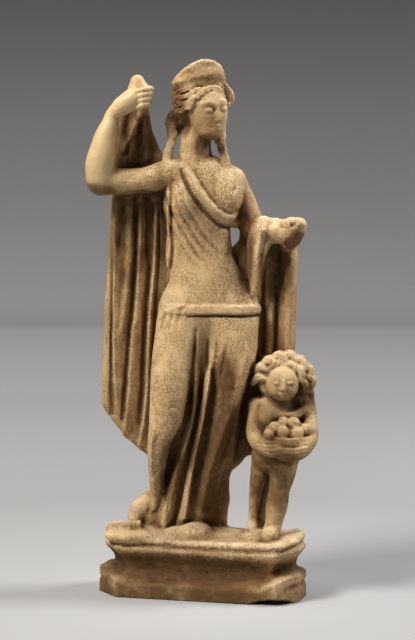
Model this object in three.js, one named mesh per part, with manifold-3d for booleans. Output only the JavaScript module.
// A marble statuette on a moulded plinth: a draped goddess with a tall diadem, one arm raised
// with the end of her mantle in its hand, and a small winged boy beside her with a bowl of fruit.
// It is carved from one block. Millimetres, +Z up, the front towards -Y, and the origin at the
// centre of the plinth's underside.
//
// The figures are worked like clay on a grid of distances: balls and tapered rods are added and
// blended, folds are drawn on the front and the back as strokes, the surface is cut out of the
// grid, and the skin is then thinned to the triangles that its shape needs.
import * as THREE from "three";
import Module from "manifold-3d";

// Driving dimensions
const FIGURE_TURN = 15;        // degrees that the figures are turned on the plinth
const GRID = 2.5;              // spacing of the grid of distances
const SKIN_TRIANGLES = 8800;   // what the skin of the figures is thinned to
const PLINTH_HALF_LENGTH = 104;
const PLINTH_HALF_DEPTH = 42;
const CORNER_DEPTH = 27;       // what each corner of the plinth is cut back, across it
const PLINTH_TOP = 62;
const TOP_SLOPE = 0.12;        // how steeply the slab has worn down towards the front
const ENDS_FROM = 66;          // where the plinth's mouldings start to rise towards its ends
const ENDS_TO = 102;           // and where they have risen in full
const WEAR = 0.7;              // how far the plinth's worn faces wander
const FOOTING = 55;            // how low the figures reach into the plinth
const FAR = 30;                // distance held where nothing is near
const LEAST_STROKE = 2.7;      // least half width of a drawn stroke that the grid can hold
const SOFT_SIDE = 8;           // half of the depth over which a drawn relief fades out
const LEAST_TURN = 0.25;       // least cosine that a thinned triangle keeps to its old facing
const LEAST_SHAPE = 0.03;      // least area of a thinned triangle, against its longest side squared
const HOLD = 1e-3;             // how firmly a thinned point is held to the middle of its edge
const MARBLE = { color: 0xc9a878, roughness: 0.6, metalness: 0 };

// Places below are [across, back, up]: to the viewer's right, away from the viewer, and up,
// in a frame that is turned with the figures.
const FRONT = -1;
const BACK = 1;

// Strands of hair combed from the parting to her right ear, as seen from the front: places across
// and up; the last two are the waves beside her left temple
const STRANDS = [
  [[23, 508], [10, 512.5], [-3, 513], [-15, 509.5], [-26.5, 502]],
  [[21, 505], [9, 508.5], [-4, 508], [-15, 504], [-28.5, 496.5]],
  [[19, 503], [8, 504.5], [-2, 503], [-10, 499.5], [-19, 496], [-28, 491]],
  [[6, 501.5], [-1, 499], [-7, 495.5], [-12, 491.5], [-19, 490], [-26.5, 485.5]],
  [[-8, 491.5], [-13, 486.5], [-19, 484], [-26, 480]],
  [[21, 509], [26, 504.5], [29.5, 498], [29, 491]],
  [[22, 504.5], [25.5, 499], [26, 493], [25, 487]],
];
const STAVES = 13;             // half the number of upright staves that the diadem is built of
const STAVE_ANGLE = 7;         // degrees between them
const DIADEM_HEIGHT = 16;

// Each of the boy's curls, as seen from the front: places across and up, then its thickness
const CURLS = [
  [[[53, 225], [58, 229.5], [65, 227.5]], 4.6],
  [[[60, 231.5], [67, 236.5], [74, 233]], 4.6],
  [[[70, 237.5], [77, 241], [84, 236]], 4.6],
  [[[80, 240], [88, 241.5], [94, 235.5]], 4.6],
  [[[91, 238], [98.5, 236], [102, 229]], 4.6],
  [[[99, 231], [106, 228], [107, 219]], 4.4],
  [[[103, 221], [109.5, 217], [108, 209]], 4.2],
  [[[93, 232], [98, 226], [98, 217]], 4.2],
  [[[97, 218], [102, 213], [101, 205]], 4.2],
  [[[51, 214], [56, 220], [63, 219]], 4.2],
  [[[101, 207], [107, 203], [106, 196]], 4.4],
  [[[97, 201], [101, 195], [97, 187]], 4.4],
];
// the fruit in the bowl: place across and up as seen from the front, and size
const FRUIT = [
  [72, 172, 6.6], [80, 167.5, 7.6], [93, 166.5, 7.8], [90, 176, 6.8], [66.5, 166.5, 5.8], [101.5, 171, 6],
  [80.5, 177, 6],
];

function smoothMin(a, b, blend) {
  if (blend <= 0) return Math.min(a, b);
  const near = Math.max(blend - Math.abs(a - b), 0) / blend;
  return Math.min(a, b) - (near * near * blend) / 4;
}

function between(value, places, values) {
  const rising = places[0] < places[places.length - 1];
  const at = rising ? places : [...places].reverse();
  const out = rising ? values : [...values].reverse();
  if (value <= at[0]) return out[0];
  for (let i = 1; i < at.length; i += 1) {
    if (value <= at[i]) {
      return THREE.MathUtils.mapLinear(value, at[i - 1], at[i], out[i - 1], out[i]);
    }
  }
  return out[out.length - 1];
}

// The grid of distances to a surface, less than nothing inside it
class Clay {
  constructor(low, high) {
    this.low = low.map((edge) => Math.round(edge / GRID) * GRID);
    this.size = high.map((edge, axis) => Math.ceil((edge - this.low[axis]) / GRID) + 1);
    this.field = new Float32Array(this.size[0] * this.size[1] * this.size[2]).fill(FAR);
  }

  cell(i, j, k) {
    return (i * this.size[1] + j) * this.size[2] + k;
  }

  place(axis, index) {
    return this.low[axis] + index * GRID;
  }

  span(axis, low, high) {
    const first = Math.max(Math.floor((low - this.low[axis]) / GRID), 0);
    const last = Math.min(Math.ceil((high - this.low[axis]) / GRID), this.size[axis] - 1);
    return [first, last];
  }

  change(shape, blend, rule) {
    const margin = blend + 3 * GRID + 2;
    const [i0, i1] = this.span(0, shape.low[0] - margin, shape.high[0] + margin);
    const [j0, j1] = this.span(1, shape.low[1] - margin, shape.high[1] + margin);
    const [k0, k1] = this.span(2, shape.low[2] - margin, shape.high[2] + margin);
    for (let i = i0; i <= i1; i += 1) {
      const across = this.place(0, i);
      for (let j = j0; j <= j1; j += 1) {
        const back = this.place(1, j);
        for (let k = k0; k <= k1; k += 1) {
          const at = this.cell(i, j, k);
          const distance = shape.distance(across, back, this.place(2, k));
          this.field[at] = rule(this.field[at], distance);
        }
      }
    }
    return this;
  }

  put(shape, blend = 4) {
    return this.change(shape, blend, (old, added) => smoothMin(old, added, blend));
  }

  cut(shape, blend = 2) {
    return this.change(shape, blend, (old, taken) => -smoothMin(-old, taken, blend));
  }

  join(other, blend) {
    const shift = other.low.map((edge, axis) => Math.round((edge - this.low[axis]) / GRID));
    for (let i = 0; i < other.size[0]; i += 1) {
      for (let j = 0; j < other.size[1]; j += 1) {
        for (let k = 0; k < other.size[2]; k += 1) {
          const at = this.cell(i + shift[0], j + shift[1], k + shift[2]);
          this.field[at] = smoothMin(this.field[at], other.field[other.cell(i, j, k)], blend);
        }
      }
    }
    return this;
  }

  // Raises the side that faces forward or back by the heights drawn on it
  press(relief, middle, facing) {
    for (let j = 0; j < this.size[1]; j += 1) {
      const back = this.place(1, j);
      const t = THREE.MathUtils.clamp(0.5 + (facing * (back - middle)) / (2 * SOFT_SIDE), 0, 1);
      const weight = t * t * (3 - 2 * t);
      for (let i = 0; i < this.size[0] && weight > 0; i += 1) {
        for (let k = 0; k < this.size[2]; k += 1) {
          this.field[this.cell(i, j, k)] -= weight * relief.height[i * this.size[2] + k];
        }
      }
    }
    return this;
  }
}

// Ellipsoid; the turn's rows are its own side, depth and up
function ball(centre, radii, turn = null) {
  const [r0, r1, r2] = radii;
  const reach = turn
    ? [0, 1, 2].map((axis) => Math.hypot(...turn.map((row, own) => row[axis] * radii[own])))
    : radii;
  const distance = (u, v, z) => {
    let p = u - centre[0];
    let q = v - centre[1];
    let s = z - centre[2];
    if (turn) {
      [p, q, s] = turn.map((row) => row[0] * p + row[1] * q + row[2] * s);
    }
    const near = Math.hypot(p / r0, q / r1, s / r2);
    const slope = Math.hypot(p / (r0 * r0), q / (r1 * r1), s / (r2 * r2));
    return (near * (near - 1)) / Math.max(slope, 1e-6);
  };
  return {
    distance,
    low: centre.map((c, axis) => c - reach[axis]),
    high: centre.map((c, axis) => c + reach[axis]),
  };
}

// Even steps along a smooth curve through the points
function smooth(points, steps) {
  const lifted = points.map((p) => new THREE.Vector3(p[0], p[1], p[2] ?? 0));
  const curve = new THREE.CatmullRomCurve3(lifted, false, "catmullrom", 0.5);
  return curve.getPoints(steps * (points.length - 1));
}

// Rod through the points with a radius at each; flat squeezes its depth
function rod(points, radii, flat = 1, steps = 4) {
  const path = smooth(points, steps);
  const last = path.length - 1;
  const marks = radii.map((radius, i) => [i, radius, 0]);
  const thick = smooth(marks, steps).map((mark) => Math.max(mark.y, 0.2));
  const legs = [];
  for (let i = 0; i < last; i += 1) {
    const a = path[i];
    const run = new THREE.Vector3().subVectors(path[i + 1], a);
    run.y /= flat;
    legs.push([a.x, a.y / flat, a.z, run.x, run.y, run.z, Math.max(run.lengthSq(), 1e-9), thick[i],
      thick[i + 1] - thick[i]]);
  }
  const distance = (u, v, z) => {
    let best = Infinity;
    const depth = v / flat;
    for (const [x, y, h, dx, dy, dz, length, radius, growth] of legs) {
      const px = u - x;
      const py = depth - y;
      const pz = z - h;
      const t = Math.min(Math.max((px * dx + py * dy + pz * dz) / length, 0), 1);
      const gap = Math.hypot(px - t * dx, py - t * dy, pz - t * dz) - radius - t * growth;
      if (gap < best) best = gap;
    }
    return best * Math.min(flat, 1);
  };
  const reach = [1, Math.max(flat, 1), 1];
  const edge = (axis, side) => path.map((p, i) => p.getComponent(axis) + side * reach[axis] * thick[i]);
  const low = [0, 1, 2].map((axis) => Math.min(...edge(axis, -1)));
  const high = [0, 1, 2].map((axis) => Math.max(...edge(axis, 1)));
  return { distance, low, high };
}

// Hanging cloth between a left and a right edge, each a list of heights and places
function curtain(heights, leftEdge, rightEdge, depth, radius) {
  const bottom = Math.min(...heights);
  const top = Math.max(...heights);
  const distance = (u, v, z) => {
    const level = THREE.MathUtils.clamp(z, bottom + radius, top - radius);
    const left = between(level, heights, leftEdge) + radius;
    const right = Math.max(between(level, heights, rightEdge) - radius, left);
    const inside = THREE.MathUtils.clamp(u, left, right);
    return Math.hypot(u - inside, v - depth, z - level) - radius;
  };
  return {
    distance,
    low: [Math.min(...leftEdge), depth - radius, bottom],
    high: [Math.max(...rightEdge), depth + radius, top],
  };
}

// Heights drawn on the upright plane over a piece of clay
class Relief {
  constructor(clay) {
    this.clay = clay;
    this.height = new Float32Array(clay.size[0] * clay.size[2]);
  }

  // A ridge, or a groove where the rise is less than nothing, along a smooth curve. Sides narrow it
  // on the viewer's left and right of a stroke that runs down
  stroke(points, halfWidth, rise, ends = [1, 1], blunt = 2, sides = [1, 1]) {
    const path = smooth(points, 6);
    const widths = [].concat(halfWidth);
    const last = path.length - 1;
    const margin = Math.max(...widths, LEAST_STROKE) * 2.2 + 1;
    const clay = this.clay;
    const across = path.map((p) => p.x);
    const up = path.map((p) => p.y);
    const [i0, i1] = clay.span(0, Math.min(...across) - margin, Math.max(...across) + margin);
    const [k0, k1] = clay.span(2, Math.min(...up) - margin, Math.max(...up) + margin);
    const stops = widths.map((w, i) => i / Math.max(widths.length - 1, 1));
    for (let i = i0; i <= i1; i += 1) {
      for (let k = k0; k <= k1; k += 1) {
        let best = Infinity;
        let along = 0;
        let side = 1;
        for (let leg = 0; leg < last; leg += 1) {
          const a = path[leg];
          const dx = path[leg + 1].x - a.x;
          const dy = path[leg + 1].y - a.y;
          const px = clay.place(0, i) - a.x;
          const py = clay.place(2, k) - a.y;
          const t = THREE.MathUtils.clamp((px * dx + py * dy) / Math.max(dx * dx + dy * dy, 1e-9), 0, 1);
          const gap = Math.hypot(px - t * dx, py - t * dy);
          if (gap < best) {
            best = gap;
            along = (leg + t) / last;
            side = px * dy - py * dx > 0 ? sides[0] : sides[1];
          }
        }
        const drawn = widths.length > 1 ? between(along, stops, widths) : widths[0];
        const width = Math.max(drawn * side, LEAST_STROKE);
        const fade = between(along, [0, 0.2, 0.8, 1], [ends[0], 1, 1, ends[1]]);
        this.height[i * clay.size[2] + k] += rise * fade * Math.exp(-((best / width) ** blunt));
      }
    }
  }

  // Strokes spread evenly from a first curve to a last one
  fan(first, last, count, halfWidth, rise, ends = [0.3, 0.5]) {
    for (let n = 0; n < count; n += 1) {
      const t = n / Math.max(count - 1, 1);
      this.stroke(mixed(first, last, t), halfWidth, rise, ends);
    }
  }
}

function mixed(first, last, t) {
  return first.map((p, i) => p.map((value, axis) => value + (last[i][axis] - value) * t));
}

// Rows: own side, depth and up, after a turn towards the viewer's right, a nod and a lean
function turned(yaw, nod, lean) {
  const angles = [lean, nod, yaw].map(THREE.MathUtils.degToRad);
  const [a, b, c] = angles;
  const turn = new THREE.Matrix4().makeRotationZ(-c);
  turn.premultiply(new THREE.Matrix4().makeRotationX(-b));
  turn.premultiply(new THREE.Matrix4().makeRotationY(-a));
  const e = turn.elements;
  return [[e[0], e[4], e[8]], [e[1], e[5], e[9]], [e[2], e[6], e[10]]];
}

function placer(origin, turn) {
  return (side, depth, up) => origin.map(
    (o, axis) => o + turn[0][axis] * side + turn[1][axis] * depth + turn[2][axis] * up,
  );
}

// Places across and up, as seen from the front, put on the front of a ball
function laidOn(centre, radii, drawn) {
  return drawn.map(([across, up]) => {
    const left = 1 - ((across - centre[0]) / radii[0]) ** 2 - ((up - centre[2]) / radii[2]) ** 2;
    return [across, centre[1] - radii[1] * Math.sqrt(Math.max(left, 0.04)), up];
  });
}

function shifted(points, move) {
  return points.map((p) => p.map((value, axis) => value + move[axis]));
}

function gown() {
  const clay = new Clay([-80, -50, 52], [72, 52, 450]);
  // trunk
  clay.put(ball([-2, 5, 392], [36, 24, 46]), 4);
  clay.put(rod([[-32, 7, 421], [3, 6, 426], [31, 7, 415]], [13, 14, 12]), 8);
  clay.put(ball([-3, 6, 345], [33, 21, 42]), 8);
  clay.put(ball([4, 3, 316], [36, 23, 30]), 8);
  clay.put(ball([8, 6, 286], [47, 29, 42]), 10);
  clay.put(ball([-15, -11, 394], [14, 12, 16]), 8);
  // legs under the cloth, her right one forward and bent
  const left = [[30, 5, 285], [28, -3, 240], [20, -8, 190], [8, -4, 140], [-3, 0, 85]];
  const right = [[-16, 2, 285], [-25, -10, 235], [-33, -17, 192], [-40, -12, 150], [-42, 2, 105],
    [-43, 10, 78]];
  clay.put(rod(left, [27, 26, 21, 17, 13]), 8);
  clay.put(rod(right, [27, 25, 19, 13, 10, 9]), 8);
  // mass of the skirt
  const middle = [[6, 10, 280], [0, 13, 200], [-2, 15, 160], [-8, 15, 120], [-12, 14, 60]];
  clay.put(rod(middle, [42, 44, 42, 37, 37], 0.55), 8);
  const front = new Relief(clay);
  drawBodice(front);
  drawOverfold(front);
  drawSkirt(front);
  clay.press(front, 6, FRONT);
  const rear = new Relief(clay);
  rear.fan([[-48, 330], [0, 290], [60, 270]], [[-45, 130], [0, 100], [30, 90]], 5, 8, 3, [0.3, 0.3]);
  rear.fan([[-26, 420], [-22, 370], [-25, 330]], [[26, 420], [18, 370], [22, 335]], 4, 4, 2, [0.3, 0.3]);
  clay.press(rear, 14, BACK);
  return clay;
}

function drawBodice(front) {
  // roll of cloth round the bare breast
  const roll = [[-15, 423], [-11, 418], [-2, 403], [9, 389], [20, 380], [30, 378], [37, 386], [46, 401]];
  front.stroke(roll, [3.5, 4.6, 5, 5.2, 4.5, 4], 5, [0.7, 0.8], 2.8);
  const under = [[-20, 424], [-17, 415], [-9, 399], [3, 383], [16, 371], [28, 367]];
  front.stroke(under, 1.8, -2.4, [0.4, 1]);
  // soft folds pulled across the chest from her right shoulder
  const first = [[-21, 414], [-15, 397], [-4, 377], [9, 357], [17, 347]];
  for (let n = 0; n < 3; n += 1) {
    const fold = shifted(first, [-7 * n - 2, -7 * n - 2]);
    front.stroke(fold, 2.6, -1.6, [0.2, 0.2]);
  }
  // folds down her right side
  front.stroke([[-31, 410], [-30, 370], [-29, 343], [-33, 312]], 1.7, -2.6, [0.3, 0.2], 1.7);
  front.stroke([[-34, 410], [-34, 368], [-33, 345], [-38, 314]], 2.6, 2, [0.5, 0.2]);
}

// Straight lower edge of the overfold across the hips, with short folds at her right hip
function drawOverfold(front) {
  front.stroke([[-42, 289], [-24, 288], [-4, 287.5], [20, 287.5], [55, 287]], 5.2, 2.4, [0, 1], 6);
  front.stroke([[-14, 281.5], [13, 281.5], [55, 281]], [0.9, 1.3, 1.6], -2.6, [0.3, 1]);
  for (let n = 0; n < 2; n += 1) {
    const top = [-17 - 12 * n, 295 - 4 * n];
    const fold = [[0, 0], [-8, -8], [-12, -22]];
    front.stroke(shifted(fold, top), 2.6, 1.3, [0.5, 0.2]);
  }
}

function drawSkirt(front) {
  // hollow between the bent knee and the long folds
  const kneeSide = [[-6, 268], [-8, 244], [-11, 217], [-15, 180], [-20, 160]];
  front.stroke(kneeSide, [1.6, 2, 2.8, 3.2, 3.2], -5, [0.2, 0.8]);
  front.stroke([[-21, 164], [-27, 148], [-34, 128], [-39, 104]], [5, 8, 7.5, 4.5], -7, [0.7, 0.5]);
  front.stroke([[-35, 134], [-41, 125], [-47, 116]], 2.2, 4, [0.4, 0.7]);
  // long folds between the legs, the first one down to the plinth
  const first = [[-4, 226], [-8, 184], [-15, 159], [-24, 131], [-30, 102], [-38, 70]];
  front.stroke(first, [2.6, 3.2, 4.2, 4.6], 7, [0.2, 1], 2.4);
  const parting = [[1, 222], [-3, 195], [-10, 156], [-19, 112], [-28, 70]];
  front.stroke(parting, [1.4, 1.9, 2.2], -3.5, [0.3, 1], 1.6);
  const crest = [[8, 232], [7, 217], [1, 176], [-5, 148], [-12, 112], [-17, 78]];
  front.stroke(crest, [3.6, 4.2, 4.2], 8, [0.2, 0.9], 1.5, [1, 0.35]);
  const beside = [[13, 232], [12, 206], [6, 165], [-2, 120], [-6, 84]];
  front.stroke(beside, [3, 5.5, 7.5, 6.5], -4, [0.2, 0.8], 2.2);
  // edge of the gown outside her left leg, and the gap behind it
  const edge = [[45, 250], [40, 226], [32, 197], [24, 172], [16, 148], [8, 124], [0, 86]];
  front.stroke(edge, [3.2, 4.4, 4.4], 2.6, [0.3, 0.5], 1.6, [1, 0.4]);
  const outer = [[50, 232], [43, 206], [34, 180], [24, 152], [15, 125], [5, 87]];
  front.stroke(outer, [2.4, 4, 4.5], -3, [0.5, 0.9]);
  front.stroke([[41, 175], [31, 145], [24, 114], [20, 83]], 4, 2, [0.3, 0.7], 2);
  // edge of the right shin and the notch above the foot
  front.stroke([[-48, 172], [-51, 150], [-50, 125], [-48, 103]], 3, 4, [0.2, 0.5]);
  front.stroke([[-42, 103], [-44, 87], [-50, 73]], 2.6, -4, [0.3, 0.5]);
}

// The mantle that hangs from the raised hand, behind the arm and beside the gown
function mantle() {
  const clay = new Clay([-112, -20, 120], [-18, 52, 522]);
  const heights = [512, 480, 465, 450, 440, 430, 400, 343, 293, 243, 190, 183, 173, 163, 153, 145, 136,
    128];
  const outer = [-70, -86, -90, -90, -90, -89.5, -89, -92, -97, -100, -101.5, -98, -91, -83, -74, -65, -54,
    -45];
  const inner = [-56, -53, -51, -44.5, -39, -33, ...new Array(12).fill(-25)];
  clay.put(curtain(heights, outer, inner, 20, 8), 4);
  const front = new Relief(clay);
  // flat pleats with a sharp edge towards the viewer's left
  const pleat = [[-87.5, 392], [-88, 342], [-88, 281], [-89, 250], [-87, 208], [-84, 180]];
  front.stroke(pleat, [5, 6.5, 6.5, 6], 3.2, [0.4, 0.3], 1.8, [0.25, 1]);
  const middle = [[-62, 390], [-62.6, 342], [-66.7, 281], [-70, 262], [-73.5, 208], [-76.5, 178],
    [-80, 158]];
  front.stroke(middle, [7, 8.5, 9, 8], 5, [0.6, 0.6], 1.8, [0.2, 1]);
  front.stroke([[-67, 390], [-67.5, 342], [-72, 281], [-79, 208], [-82, 175]], 2.2, -3.4, [0.6, 0.5]);
  const inside = [[-46.5, 390], [-46.9, 342], [-52, 281], [-53.5, 262], [-55.5, 208], [-58.4, 178],
    [-63, 148]];
  front.stroke(inside, [3.6, 4.6, 4.6], 6, [0.6, 0.6], 1.8, [0.35, 1]);
  front.stroke([[-51, 390], [-51.5, 342], [-57, 281], [-60.5, 208], [-63.5, 170]], 2.6, -3.5, [0.8, 0.5]);
  // deep hollows where the cloth leaves the arm
  front.stroke([[-81, 396], [-81, 368], [-82, 338]], 5, -5, [1, 0.1]);
  front.stroke([[-54.5, 396], [-54.5, 362], [-55, 330]], 4, -6, [1, 0.1]);
  // between the forearm and the head
  front.stroke([[-60, 484], [-65.6, 468], [-72.7, 456], [-77, 444]], 2.6, 5, [0.6, 0.6]);
  front.stroke([[-73, 478], [-75, 466], [-74, 452], [-76, 440]], 3.2, -5, [0.6, 0.4]);
  front.stroke([[-62, 474], [-62.6, 460], [-62.6, 438]], 2.2, -4.5, [0.4, 0.4]);
  front.stroke([[-56, 474], [-56, 458], [-55, 436]], 2.4, 2.5);
  clay.press(front, 20, FRONT);
  const rear = new Relief(clay);
  rear.fan([[-75, 490], [-90, 400], [-96, 200]], [[-55, 490], [-48, 400], [-52, 170]], 4, 5, 3, [0.3, 1]);
  clay.press(rear, 20, BACK);
  return clay;
}

function raisedArm() {
  const clay = new Clay([-125, -40, 385], [-18, 42, 525]);
  clay.put(rod([[-30, 6, 422], [-55, 2, 415], [-80, -3, 413.5], [-98, -6, 415]], [15, 13, 13, 14.5]), 3);
  const forearm = [[-100, -6, 414], [-100.3, -9, 430], [-97.5, -11, 443], [-94.5, -12, 458],
    [-90.5, -12, 469], [-88, -12, 478.5], [-79, -12, 487], [-68.5, -12, 494]];
  clay.put(rod(forearm, [14.5, 14.8, 13.4, 11, 8.8, 7, 9.2, 10.8], 1.1), 3);
  for (let finger = 0; finger < 4; finger += 1) {
    const up = 504.5 - 5 * finger;
    const bend = [[-66 + finger, -18, up - 3.5], [-58, -20.5, up - 1.5], [-51 - 0.4 * finger, -16, up],
      [-49.6 - 0.8 * finger, -8, up], [-53, -2, up]];
    clay.put(rod(bend, [2.6, 2.8, 2.7, 2.6, 2.6], 1, 3), 0.6);
  }
  // cloth gathered in the fist
  clay.put(ball([-62, -5, 503], [11.5, 8, 9]), 1.5);
  clay.put(ball([-63.5, -5, 509], [7.8, 6.5, 9.5]), 3);
  clay.put(rod([[-59, 10, 500], [-58, 18, 478]], [5, 6]), 3);
  return clay;
}

// Her left arm, broken off beyond the elbow, with cloth thrown over it
function loweredArm() {
  const clay = new Clay([12, -50, 120], [112, 52, 440]);
  clay.put(rod([[33, 7, 412], [42, 8, 393], [50, 8, 371]], [12, 11.5, 12]), 3);
  clay.put(rod([[51, 8, 366], [70, -6, 362.5], [84, -16, 363]], [12.5, 10.5, 10.5]), 4);
  // its broken end: a worn cap left on top, and a rough face that slants back under it to the cloth
  clay.put(ball([91, -20, 371.5], [12.3, 12, 8]), 1);
  clay.put(rod([[90, -17, 364], [88, -12, 356], [84, 0, 350]], [11.5, 9, 7]), 4);
  clay.cut(ball([104, -44, 336], [40, 30, 24]), 1.5);
  // the mantle laid over the arm, with its end hanging in front
  for (let fold = 0; fold < 2; fold += 1) {
    const across = 61.5 + 11 * fold;
    const over = [[across, 6 - 7 * fold, 371], [across + 0.5, -6 - 5 * fold, 374 - 1.5 * fold],
      [across - 1, -15 - 3 * fold, 366]];
    clay.put(rod(over, [5, 5.4, 5], 1, 3), 5);
  }
  const hanging = [[61, -6, 365], [57, -9, 357], [55.3, -9, 346], [53.5, -8, 323], [52.7, -7, 308],
    [52, -6, 300]];
  clay.put(rod(hanging, [10, 12, 11, 8.3, 4.5, 2], 0.6), 5);
  // stone left between the arm and her side, above and below the small opening
  clay.put(rod([[26, 8, 377], [42, 8, 375]], [9, 9]), 3);
  clay.put(rod([[47, 15, 350], [37, 15, 337], [34, 14, 300]], [9, 11, 12], 0.6), 3);
  const front = new Relief(clay);
  front.stroke([[64, 362], [61, 346], [58, 328]], 1.8, -1.2, [0.2, 0.2], 1.8);
  clay.press(front, 6, FRONT);
  clay.join(clothFall(), 3);
  // the break: flat scars on top and in front
  clay.cut(ball([93, -24, 432], [60, 60, 53.8]), 1);
  clay.cut(ball([97, -61, 354], [30, 32, 24]), 1);
  return clay;
}

// The other end of the mantle, from the left arm down behind the boy
function clothFall() {
  const clay = new Clay([12, -30, 120], [110, 52, 380]);
  const heights = [376, 340, 322, 300, 260, 200, 150, 138];
  const inner = [38, 37, 28, 24, 20, 16, 24, 34];
  const outer = [95, 95.5, 95.5, 95, 94, 92, 89, 86];
  clay.put(curtain(heights, inner, outer, 14, 9), 4);
  const front = new Relief(clay);
  // the thick outer fold, and the dark hollow inside it
  front.stroke([[88, 334], [88, 300], [86, 243]], 5.5, 6, [0.3, 1], 2.6);
  front.stroke([[77, 345], [75, 303], [73.5, 243]], 2.4, -6, [1, 0.6]);
  front.stroke([[70, 300], [70, 275], [68, 243]], 3.4, 2.5, [0, 1], 2.2);
  front.stroke([[62.5, 343], [62, 293], [61, 243]], 2.6, -5);
  front.stroke([[70, 348], [73, 330], [73, 305]], 8.5, -8, [1, 0.2]);
  front.stroke([[48, 252], [44, 212], [36, 162]], 2.6, -4);
  clay.press(front, 14, FRONT);
  const rear = new Relief(clay);
  rear.fan([[50, 355], [45, 300], [40, 170]], [[86, 360], [86, 300], [80, 165]], 4, 5, 3, [0.3, 0.6]);
  clay.press(rear, 14, BACK);
  clay.put(rod([[41, 18, 150], [31, 20, 134], [23, 20, 128]], [11, 9.5, 9]), 5);
  return clay;
}

function head() {
  const clay = new Clay([-48, -45, 415], [48, 50, 542]);
  const turn = turned(33, 1, -5);
  const at = placer([0.5, 3, 490], turn);
  const own = (centre, radii) => ball(at(...centre), radii, turn);
  const line = (points, radii) => rod(points.map((p) => at(...p)), radii);
  clay.put(own([0, 4, 3], [24, 27, 26]), 3);
  clay.put(own([0, -9, -8], [18.5, 19, 27]), 4);
  clay.put(own([0, -17, -28], [9, 9, 8]), 6);
  face(clay, line, own);
  // neck
  clay.put(rod([at(-2, 4, -20), [-6.5, 6, 451], [-6, 8, 430]], [14.5, 15.4, 17]), 5);
  hair(clay, line, own);
  diadem(clay);
  return clay;
}

// Brow, foot of the nose and chin at even thirds below the hair, and the eyes halfway up the head
function face(clay, line, own) {
  clay.put(line([[0, -26, -4], [0, -29, -15.5]], [1.9, 2.4]), 3);
  for (const side of [-1, 1]) {
    clay.cut(own([8 * side, -27.5, -5.2], [5.2, 3.6, 3.2]), 4);
    clay.put(own([8 * side, -24.2, -6], [4.2, 3, 2.2]), 1);
  }
  clay.put(line([[-4.5, -25.5, -22.4], [0, -27.2, -21.6], [4.5, -25.5, -22.4]], [0.8, 1.5, 0.8]), 1);
  clay.put(line([[-3.8, -25, -24.8], [0, -26.6, -25], [3.8, -25, -24.8]], [0.8, 1.6, 0.8]), 1);
}

// A crescent that stands on the hair, with a thicker rim
function diadem(clay) {
  const at = placer([-0.5, 3, 490], turned(14, 2, -6));
  const rim = [];
  const roll = [];
  for (let n = -STAVES; n <= STAVES; n += 1) {
    const angle = THREE.MathUtils.degToRad(STAVE_ANGLE * n);
    const side = 23.6 * Math.sin(angle);
    const depth = 3 - 23 * Math.cos(angle);
    const foot = 21.5 + 6.5 * Math.cos(angle);
    const fullness = n > 0 ? 1.8 : 1.15;
    const rise = DIADEM_HEIGHT * (1 - (Math.abs(STAVE_ANGLE * n) / 106) ** fullness);
    const top = Math.max(foot - 3 + rise, foot + 1);
    clay.put(rod([at(side, depth, foot), at(side, depth + 3, top)], [3.4, 2.6]), 2);
    rim.push(at(1.01 * side, depth + 1.5, top));
    roll.push(at(0.9 * side, depth + 4, foot - 5));
  }
  clay.put(rod(rim, new Array(rim.length).fill(2.7), 1, 1), 2);
  // hair rolled up under it
  clay.put(rod(roll, new Array(roll.length).fill(5.5), 1, 1), 2);
}

// Waves from the parting to the ears, a knot behind and a long lock down to each shoulder
function hair(clay, line, own) {
  for (const strand of STRANDS) {
    const way = laidOn([-1.5, 7, 491], [28, 28.5, 29], strand);
    way[way.length - 1][1] += 4;
    clay.put(rod(way, [2, ...new Array(way.length - 2).fill(2.9), 2.2]), 0.7);
  }
  clay.put(rod([[-28, 2, 501], [-25, -5, 496], [-17, -14, 495]], [3.4, 3.8, 2.4]), 0.8);
  clay.put(line([[24, 4, -2], [24, 8, -12], [19, 11, -22]], [6, 6, 5]), 2);
  clay.put(rod([[-19, 4, 486], [-22, 8, 478], [-22, 11, 468]], [5, 5.5, 4]), 2);
  clay.cut(ball([-25.5, -8, 471], [3.4, 14, 7]), 1.5);
  clay.put(rod([[-25, 15, 480], [-26, 14, 464]], [6.5, 6]), 1);
  clay.put(rod([[16, 6, 464], [16.5, 3, 453]], [5, 4]), 2);
  clay.put(own([0, 28, -6], [13, 10, 12]), 4);
  for (let strand = -2; strand <= 2; strand += 1) {
    const side = 8 * strand;
    const drop = 0.02 * side * side;
    clay.put(line([[side, -2, 31 - drop], [1.05 * side, 18, 24 - drop], [0.6 * side, 29, 6]],
      [3.5, 4, 3.5]), 2);
  }
  const rightLock = [[-29, 10, 481], [-31, 8, 471], [-33, 6, 461], [-32, 4, 451], [-34, 2, 442],
    [-36, 0, 428]];
  clay.put(rod(rightLock, [5, 5.6, 5.4, 4.8, 4.8, 4.2]), 1);
  clay.put(rod([[-26, 8, 476], [-28, 10, 466]], [5, 4]), 2);
  const leftLock = [[20, 8, 468], [19, 4, 456], [20, 1, 446], [23, -2, 436], [26, -4, 424]];
  clay.put(rod(leftLock, [4.4, 4.4, 4.4, 4, 3.2]), 1);
}

function bareBreast() {
  const clay = new Clay([-30, -40, 365], [55, 35, 445]);
  clay.put(ball([18, 5, 405], [25, 20, 28]), 4);
  clay.put(ball([24, -7, 397], [14.5, 11, 16]), 10);
  clay.cut(rod([[35, -13, 414], [33, -15, 406]], [1.5, 2]), 2);
  return clay;
}

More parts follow.
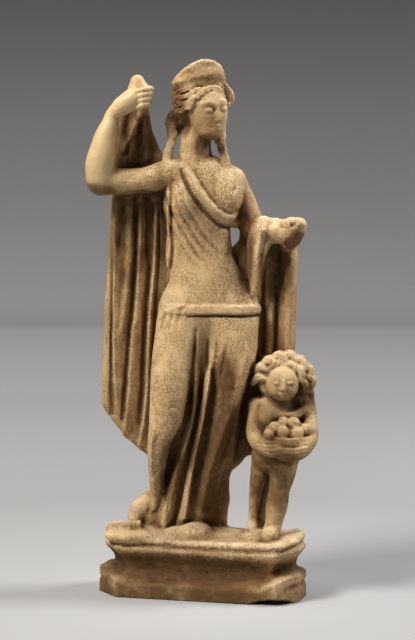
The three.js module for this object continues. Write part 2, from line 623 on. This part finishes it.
function feet() {
  const clay = new Clay([-112, -56, 45], [96, 50, 112]);
  // her right foot, set to the side with the heel raised
  clay.put(rod([[-49, 14, 96], [-59, 11, 87], [-65.5, 5, 80], [-68, -4, 75]], [9, 10.6, 9, 6]), 3);
  clay.put(ball([-55, 11, 72], [15, 11, 14]), 4);
  clay.put(ball([-67.5, -11, 72.5], [7, 5, 4]), 2);
  // her left foot, a low worn form under the hem
  clay.put(ball([-6, -15, 64], [17, 15, 11]), 3);
  clay.put(ball([-24, -16, 62], [16, 10, 9]), 4);
  // ground left rough round the feet
  clay.put(ball([-10, 0, 60], [60, 30, 8.5]), 3);
  clay.put(ball([-66, -4, 60], [32, 22, 10]), 4);
  clay.put(ball([62, -12, 60], [24, 26, 7]), 3);
  clay.put(ball([-77, 20, 59], [19, 20, 8]), 3);
  return clay;
}

function boy() {
  const clay = new Clay([28, -65, 48], [124, 32, 252]);
  // trunk
  clay.put(ball([77, -12, 176], [21, 15, 26]), 3);
  clay.put(ball([73, -12, 143], [23.5, 16, 20]), 6);
  clay.put(rod([[55, -10, 191], [78, -12, 193], [102, -12, 188]], [9, 9, 8]), 5);
  clay.put(ball([68, -17, 176], [16, 15, 24]), 5);
  // legs, feet and the stone left between them
  clay.put(rod([[60, -8, 135], [55, -7, 112], [52.5, -3, 93], [51, 0, 70]], [10.5, 7.5, 5.6, 5]), 4);
  const leftLeg = [[80, -14, 135], [79.5, -17, 121], [77, -20, 108], [74.5, -22, 94], [70.5, -26, 72]];
  clay.put(rod(leftLeg, [16, 12.5, 10.3, 11, 8]), 4);
  clay.put(rod([[51, -1, 68], [49, -8, 66]], [6.5, 5.5]), 3);
  clay.put(rod([[69, -26, 68], [66.5, -38, 65]], [8.5, 8]), 3);
  clay.put(rod([[62, 3, 130], [60, 5, 60]], [8, 8]), 2);
  // worn edge of a small cloak at the neck
  const drawn = [[64, 196], [69, 186], [79, 180.5], [91, 181], [103, 186]];
  const collar = laidOn([80, -8, 186], [34, 22, 30], drawn);
  clay.put(rod(collar, [2, 2.6, 2.8, 2.6, 2]), 4);
  // arms round the bowl
  clay.put(rod([[55, -12, 190], [52.5, -18, 175], [52.5, -28, 164], [59, -38, 156], [72, -45, 152],
    [84, -48, 151]], [8.5, 8, 8.6, 9.6, 8.6, 6]), 4);
  clay.put(rod([[103, -12, 187], [106.5, -20, 175], [106.5, -31, 163], [103.7, -42, 157.5], [97, -48, 152],
    [88, -49, 150]], [8, 8, 8.4, 7.6, 7.2, 5]), 4);
  clay.join(bowlOfFruit(), 2.5);
  // head with a plain face
  clay.put(ball([79.6, -20, 216], [15, 15, 16.5]), 4);
  clay.put(ball([79.5, -24.5, 212.5], [16, 13.8, 15]), 4);
  clay.put(rod([[80, -14, 200], [80, -13, 186]], [11, 13]), 3);
  for (const side of [-1, 1]) {
    clay.cut(ball([80 + 6 * side, -37.5, 217], [3.8, 3, 2.4]), 2.5);
  }
  clay.put(rod([[80, -37, 217], [79.5, -39.5, 210.5]], [1.4, 2.3]), 2);
  curls(clay);
  // small wing behind his left shoulder
  clay.put(rod([[105.5, -4, 197], [108, -3, 186], [110, -4, 174]], [7, 6.5, 5]), 3);
  return clay;
}

function curls(clay) {
  clay.put(ball([82.5, -9, 215.5], [27, 16, 26.5]), 2);
  clay.put(ball([101, -8, 198], [10, 14, 14]), 3);
  for (const [drawn, thick] of CURLS) {
    const way = shifted(laidOn([81, 4, 213], [36, 30, 36], drawn), [0, 0.9 * thick, 0]);
    const radii = [0.8 * thick, ...new Array(way.length - 2).fill(1.15 * thick), 0.8 * thick];
    clay.put(rod(way, radii, 1.9), 1.5);
  }
}

function bowlOfFruit() {
  const clay = new Clay([28, -65, 120], [124, 32, 200]);
  clay.put(ball([87, -35, 161], [25, 17.5, 23]), 2);
  clay.cut(ball([87, -36, 188], [60, 60, 25]), 1);
  clay.put(ball([86, -30, 166], [23, 13, 12]), 2);
  for (const [across, up, size] of FRUIT) {
    clay.put(ball([across, -43 + 0.5 * (up - 167), up], [1.1 * size, size, size]), 1.2);
  }
  return clay;
}

function figures() {
  const clay = new Clay([-128, -70, 44], [128, 56, 546]);
  clay.join(gown(), 2);
  clay.join(feet(), 3);
  clay.join(mantle(), 2);
  clay.join(bareBreast(), 1);
  clay.join(loweredArm(), 2);
  clay.join(raisedArm(), 2);
  clay.join(head(), 2);
  clay.join(boy(), 2);
  for (let k = 0; k < clay.size[2]; k += 1) {
    const under = FOOTING - clay.place(2, k);
    for (let i = 0; i < clay.size[0]; i += 1) {
      for (let j = 0; j < clay.size[1]; j += 1) {
        const at = clay.cell(i, j, k);
        clay.field[at] = Math.max(clay.field[at], under);
      }
    }
  }
  return clay;
}

// The surface of the clay: each cell of the grid is split into six tetrahedra along one diagonal,
// and each of those gives no, one or two triangles
function skinOf(clay) {
  const points = [];
  const triangles = [];
  const known = new Map();
  const nudge = 1e-3;
  const value = (node) => clay.field[clay.cell(...node)] || nudge;
  const crossing = (inner, outer) => {
    const [low, high] = inner[0] + inner[1] + inner[2] < outer[0] + outer[1] + outer[2]
      ? [inner, outer] : [outer, inner];
    const way = high[0] - low[0] + 2 * (high[1] - low[1]) + 4 * (high[2] - low[2]);
    const key = clay.cell(...low) * 8 + way;
    if (!known.has(key)) {
      const share = THREE.MathUtils.clamp(value(low) / (value(low) - value(high)), 0.1, 0.9);
      const point = low.map((node, axis) => clay.place(axis, node + share * (high[axis] - node)));
      known.set(key, points.length / 3);
      points.push(...point);
    }
    return known.get(key);
  };
  const centre = (nodes) => nodes.reduce(
    (sum, node) => sum.add(new THREE.Vector3(...node)),
    new THREE.Vector3(),
  ).divideScalar(nodes.length);
  const facesOut = (ring, inner, outer) => {
    const [a, b, c, d] = ring.map((n) => new THREE.Vector3().fromArray(points, 3 * n));
    const normal = c.clone().sub(a).cross((d ?? a).clone().sub(b));
    return normal.dot(centre(outer).sub(centre(inner))) > 0;
  };
  const axes = [[0, 1, 2], [0, 2, 1], [1, 0, 2], [1, 2, 0], [2, 0, 1], [2, 1, 0]];
  const split = (i, j, k) => {
    for (const order of axes) {
      const corners = [[i, j, k]];
      for (const axis of order) {
        const next = [...corners[corners.length - 1]];
        next[axis] += 1;
        corners.push(next);
      }
      const inner = corners.filter((node) => value(node) < 0);
      const outer = corners.filter((node) => value(node) >= 0);
      if (inner.length === 0 || outer.length === 0) continue;
      let ring;
      if (inner.length === 2) {
        const [a, b] = outer.map((node) => crossing(inner[0], node));
        const [d, c] = outer.map((node) => crossing(inner[1], node));
        ring = [a, b, c, d];
      } else {
        const [single, others] = inner.length === 1 ? [inner[0], outer] : [outer[0], inner];
        ring = others.map((node) => crossing(single, node));
      }
      if (!facesOut(ring, inner, outer)) ring.reverse();
      triangles.push(ring[0], ring[1], ring[2]);
      if (ring.length === 4) triangles.push(ring[0], ring[2], ring[3]);
    }
  };
  for (let i = 0; i < clay.size[0] - 1; i += 1) {
    for (let j = 0; j < clay.size[1] - 1; j += 1) {
      for (let k = 0; k < clay.size[2] - 1; k += 1) {
        let within = 0;
        for (let corner = 0; corner < 8; corner += 1) {
          const node = clay.cell(i + (corner & 1), j + ((corner >> 1) & 1), k + (corner >> 2));
          if (clay.field[node] < 0) within += 1;
        }
        if (within > 0 && within < 8) split(i, j, k);
      }
    }
  }
  return { points, triangles };
}

// Keeps the largest closed surface
function largest({ points, triangles }) {
  const parent = Int32Array.from({ length: points.length / 3 }, (_, n) => n);
  const root = (n) => {
    let top = n;
    while (parent[top] !== top) {
      parent[top] = parent[parent[top]];
      top = parent[top];
    }
    return top;
  };
  for (let t = 0; t < triangles.length; t += 3) {
    parent[root(triangles[t])] = root(triangles[t + 1]);
    parent[root(triangles[t + 1])] = root(triangles[t + 2]);
  }
  const sizes = new Map();
  for (let t = 0; t < triangles.length; t += 3) {
    const top = root(triangles[t]);
    sizes.set(top, (sizes.get(top) ?? 0) + 1);
  }
  const [main] = [...sizes].sort((a, b) => b[1] - a[1])[0];
  const kept = [];
  for (let t = 0; t < triangles.length; t += 3) {
    if (root(triangles[t]) === main) kept.push(triangles[t], triangles[t + 1], triangles[t + 2]);
  }
  return { points, triangles: kept };
}

// Edges waiting to be taken away, the cheapest first
class Queue {
  constructor() {
    this.items = [];
  }

  push(item) {
    const items = this.items;
    let n = items.push(item) - 1;
    while (n > 0) {
      const above = (n - 1) >> 1;
      if (items[above].cost <= item.cost) break;
      items[n] = items[above];
      n = above;
    }
    items[n] = item;
  }

  pop() {
    const items = this.items;
    const first = items[0];
    const item = items.pop();
    const count = items.length;
    let n = 0;
    while (count > 0) {
      let below = 2 * n + 1;
      if (below >= count) break;
      if (below + 1 < count && items[below + 1].cost < items[below].cost) below += 1;
      if (items[below].cost >= item.cost) break;
      items[n] = items[below];
      n = below;
    }
    if (count > 0) items[n] = item;
    return first;
  }
}

// Thins a closed surface: the edge goes first whose neighbouring planes one new point fits best
function thinned({ points, triangles }, target) {
  const at = (n) => new THREE.Vector3().fromArray(points, 3 * n);
  const corners = [];
  const around = new Map();
  const planes = new Map();
  const stamps = new Map();
  for (let t = 0; t < triangles.length; t += 3) {
    const face = corners.push([triangles[t], triangles[t + 1], triangles[t + 2]]) - 1;
    const [a, b, c] = corners[face].map(at);
    const normal = b.clone().sub(a).cross(c.clone().sub(a));
    const area = normal.length() / 2;
    normal.normalize();
    const { x, y, z } = normal;
    const w = -normal.dot(a);
    const plane = [x * x, x * y, x * z, x * w, y * y, y * z, y * w, z * z, z * w, w * w];
    for (const n of corners[face]) {
      if (!around.has(n)) {
        around.set(n, new Set());
        planes.set(n, new Float64Array(10));
        stamps.set(n, 0);
      }
      around.get(n).add(face);
      const sum = planes.get(n);
      for (let i = 0; i < 10; i += 1) sum[i] += area * plane[i];
    }
  }
  const neighbours = (n) => {
    const found = new Set();
    for (const face of around.get(n)) {
      for (const other of corners[face]) found.add(other);
    }
    found.delete(n);
    return found;
  };
  const queue = new Queue();
  const offer = (a, b) => {
    const p = planes.get(a);
    const r = planes.get(b);
    const q = p.map((value, i) => value + r[i]);
    const start = at(a);
    const end = at(b);
    const middle = start.clone().add(end).multiplyScalar(0.5);
    const hold = HOLD * (q[0] + q[4] + q[7]) + 1e-6;
    const form = new THREE.Matrix3().set(q[0] + hold, q[1], q[2], q[1], q[4] + hold, q[5],
      q[2], q[5], q[7] + hold);
    const best = new THREE.Vector3(hold * middle.x - q[3], hold * middle.y - q[6],
      hold * middle.z - q[8]).applyMatrix3(form.invert());
    const reach = start.distanceTo(end);
    if (best.distanceTo(middle) > reach) best.copy(middle);
    const { x, y, z } = best;
    const cost = q[0] * x * x + q[4] * y * y + q[7] * z * z + q[9]
      + 2 * (q[1] * x * y + q[2] * x * z + q[5] * y * z + q[3] * x + q[6] * y + q[8] * z);
    queue.push({ cost: cost + HOLD * reach * reach, a, b, best, made: stamps.get(a) + stamps.get(b) });
  };
  const turnsOver = (n, other, best) => {
    for (const face of around.get(n)) {
      const ring = corners[face];
      if (!ring.includes(other)) {
        const before = ring.map(at);
        const after = ring.map((m, i) => (m === n ? best : before[i]));
        const old = before[1].clone().sub(before[0]).cross(before[2].clone().sub(before[0]));
        const now = after[1].clone().sub(after[0]).cross(after[2].clone().sub(after[0]));
        const longest = Math.max(...[0, 1, 2].map((i) => after[i].distanceToSquared(after[(i + 1) % 3])));
        if (old.dot(now) < LEAST_TURN * old.length() * now.length()) return true;
        if (now.length() < LEAST_SHAPE * longest) return true;
      }
    }
    return false;
  };
  for (const n of around.keys()) {
    for (const m of neighbours(n)) if (n < m) offer(n, m);
  }
  let left = corners.length;
  while (left > target && queue.items.length > 0) {
    const { a, b, best, made } = queue.pop();
    const current = around.has(a) && around.has(b) && made === stamps.get(a) + stamps.get(b);
    if (!current) continue;
    const beside = neighbours(b);
    const shared = [...neighbours(a)].filter((n) => beside.has(n));
    const closed = shared.length === 2 && shared.every((n) => around.get(n).size > 3);
    if (!closed || turnsOver(a, b, best) || turnsOver(b, a, best)) continue;
    best.toArray(points, 3 * a);
    for (const face of around.get(b)) {
      if (corners[face].includes(a)) {
        for (const n of corners[face]) if (n !== b) around.get(n).delete(face);
        left -= 1;
      } else {
        corners[face] = corners[face].map((n) => (n === b ? a : n));
        around.get(a).add(face);
      }
    }
    const sum = planes.get(a);
    planes.get(b).forEach((value, i) => {
      sum[i] += value;
    });
    around.delete(b);
    stamps.set(a, stamps.get(a) + stamps.get(b) + 1);
    for (const n of neighbours(a)) offer(a, n);
  }
  return geometryOf(points, [...new Set([...around.values()].flatMap((faces) => [...faces]))]
    .flatMap((face) => corners[face]));
}

// Geometry with only the points that its triangles use
function geometryOf(points, triangles) {
  const places = new Map();
  const used = [];
  const index = triangles.map((n) => {
    if (!places.has(n)) {
      places.set(n, used.length / 3);
      used.push(points[3 * n], points[3 * n + 1], points[3 * n + 2]);
    }
    return places.get(n);
  });
  const geometry = new THREE.BufferGeometry();
  geometry.setAttribute("position", new THREE.Float32BufferAttribute(used, 3));
  geometry.setIndex(index);
  return geometry;
}

// One level round the plinth: a long octagon, set in from the full size. Its corners are cut back
// by one length at the left end and another at the right, and each end rises where it is worn
function plinthLevel({ height, inset, shift = 0, leftCut, rightCut, endRise = [0, 0] }) {
  const length = PLINTH_HALF_LENGTH - inset;
  const depth = PLINTH_HALF_DEPTH - inset;
  const side = depth - CORNER_DEPTH + 0.4 * inset;
  const corner = [[-length, side], [-length, -side], [leftCut - length, -depth],
    [length - rightCut, -depth], [length, -side], [length, side], [length - rightCut, depth],
    [leftCut - length, depth]];
  const steps = [2, 2, 6, 2, 2, 2, 6, 2];
  const ring = [];
  corner.forEach(([x0, y0], n) => {
    const [x1, y1] = corner[(n + 1) % corner.length];
    for (let step = 0; step < steps[n]; step += 1) {
      const t = step / steps[n];
      const x = x0 + (x1 - x0) * t + shift;
      const y = y0 + (y1 - y0) * t;
      const rise = endRise[x < 0 ? 0 : 1] * THREE.MathUtils.smoothstep(Math.abs(x), ENDS_FROM, ENDS_TO);
      const wear = height > 0 ? WEAR * Math.sin(0.11 * x + 0.07 * y + 0.13 * height) : 0;
      ring.push([x, y + wear * Math.sign(y), height + rise + (height > 0 ? 0.4 * wear : 0)
        - fallAt(x, y) * (height / PLINTH_TOP) ** 4]);
    }
  });
  return ring;
}

// What the slab's top has lost where it is worn down towards the front
function fallAt(x, y) {
  return TOP_SLOPE * Math.max(-5 - y, 0) * THREE.MathUtils.clamp((x + 60) / 60, 0, 1);
}

function plinth() {
  const lower = { leftCut: 26, rightCut: 14 };
  const upper = { leftCut: 20, rightCut: 18, shift: 3 };
  const slab = { leftCut: 20, rightCut: 12, shift: 3 };
  const levels = [
    { height: 0, inset: 0, ...lower },
    { height: 13.5, inset: 0, ...lower, endRise: [15, 18] },
    { height: 15.5, inset: 2.5, ...lower, shift: 1, endRise: [15, 17] },
    { height: 18.5, inset: 6.5, ...upper, shift: 2, endRise: [13, 15] },
    { height: 22.5, inset: 10, ...upper, endRise: [10, 11] },
    { height: 28, inset: 11.8, ...upper, endRise: [7, 7] },
    { height: 35, inset: 10.4, ...upper, endRise: [5, 5] },
    { height: 40, inset: 7.4, ...upper, endRise: [3, 4] },
    { height: 44, inset: 4, ...upper, endRise: [3, 4] },
    { height: 47, inset: 2.5, ...upper, endRise: [2.5, 4] },
    { height: 49.5, inset: 2.5, ...upper, endRise: [2.5, 3.5] },
    { height: 52, inset: 3.2, ...upper, endRise: [2.5, 3.5] },
    { height: 53.6, inset: 7, ...upper, rightCut: 16, endRise: [3, 3] },
    { height: 55.2, inset: 4, ...slab, endRise: [4, 3] },
    { height: 59.5, inset: 3, ...slab, endRise: [6, 3] },
    { height: PLINTH_TOP, inset: 6, ...slab, endRise: [7, 3] },
  ];
  const rings = levels.map(plinthLevel);
  const count = rings[0].length;
  const points = rings.flat(2);
  const triangles = [];
  for (let level = 0; level < rings.length - 1; level += 1) {
    for (let n = 0; n < count; n += 1) {
      const a = level * count + n;
      const b = level * count + ((n + 1) % count);
      triangles.push(a, b, b + count, a, b + count, a + count);
    }
  }
  const top = points.length / 3;
  points.push(0, 0, 0, 0, 0, PLINTH_TOP);
  const roof = (rings.length - 1) * count;
  for (let n = 0; n < count; n += 1) {
    const next = (n + 1) % count;
    triangles.push(next, n, top, roof + n, roof + next, top + 1);
  }
  return geometryOf(points, triangles);
}

// A rough lump that is knocked out of the stone
function lump(place, radii) {
  const points = new THREE.IcosahedronGeometry(1, 1);
  points.deleteAttribute("normal");
  points.deleteAttribute("uv");
  const geometry = joined(points);
  geometry.scale(...radii);
  geometry.translate(...place);
  return geometry;
}

// The same triangles on shared points
function joined(loose) {
  const from = loose.getAttribute("position");
  const known = new Map();
  const points = [];
  const triangles = [];
  for (let n = 0; n < from.count; n += 1) {
    const point = [from.getX(n), from.getY(n), from.getZ(n)];
    const key = point.map((value) => value.toFixed(5)).join();
    if (!known.has(key)) {
      known.set(key, points.length / 3);
      points.push(...point);
    }
    triangles.push(known.get(key));
  }
  return geometryOf(points, triangles);
}

const wasm = await Module();
wasm.setup();

function solid(geometry) {
  return new wasm.Manifold(new wasm.Mesh({
    numProp: 3,
    vertProperties: Float32Array.from(geometry.getAttribute("position").array),
    triVerts: Uint32Array.from(geometry.getIndex().array),
  }));
}

function geometryFrom(shape) {
  const mesh = shape.getMesh();
  return geometryOf([...mesh.vertProperties], [...mesh.triVerts]);
}

function statuette() {
  const skin = thinned(largest(skinOf(figures())), SKIN_TRIANGLES);
  skin.rotateZ(THREE.MathUtils.degToRad(FIGURE_TURN));
  let stone = solid(plinth());
  // the broken lower corner at the right, and chips along the top slab
  const losses = [[[90, -46, -3], [34, 24, 9]], [[-109, -10, 58], [9, 14, 5]],
    [[-88, -33, 63], [9, 7, 4]], [[40, -42, 64], [14, 5, 5]], [[104, -24, 47], [6, 7, 5]],
    [[-111, 6, 50], [12, 30, 6]]];
  for (const [place, radii] of losses) {
    stone = stone.subtract(solid(lump(place, radii)));
  }
  return geometryFrom(stone.add(solid(skin)));
}

const group = new THREE.Group();
const mesh = new THREE.Mesh(statuette(), new THREE.MeshStandardMaterial(MARBLE));
mesh.name = "statuette";
group.add(mesh);
export default group;
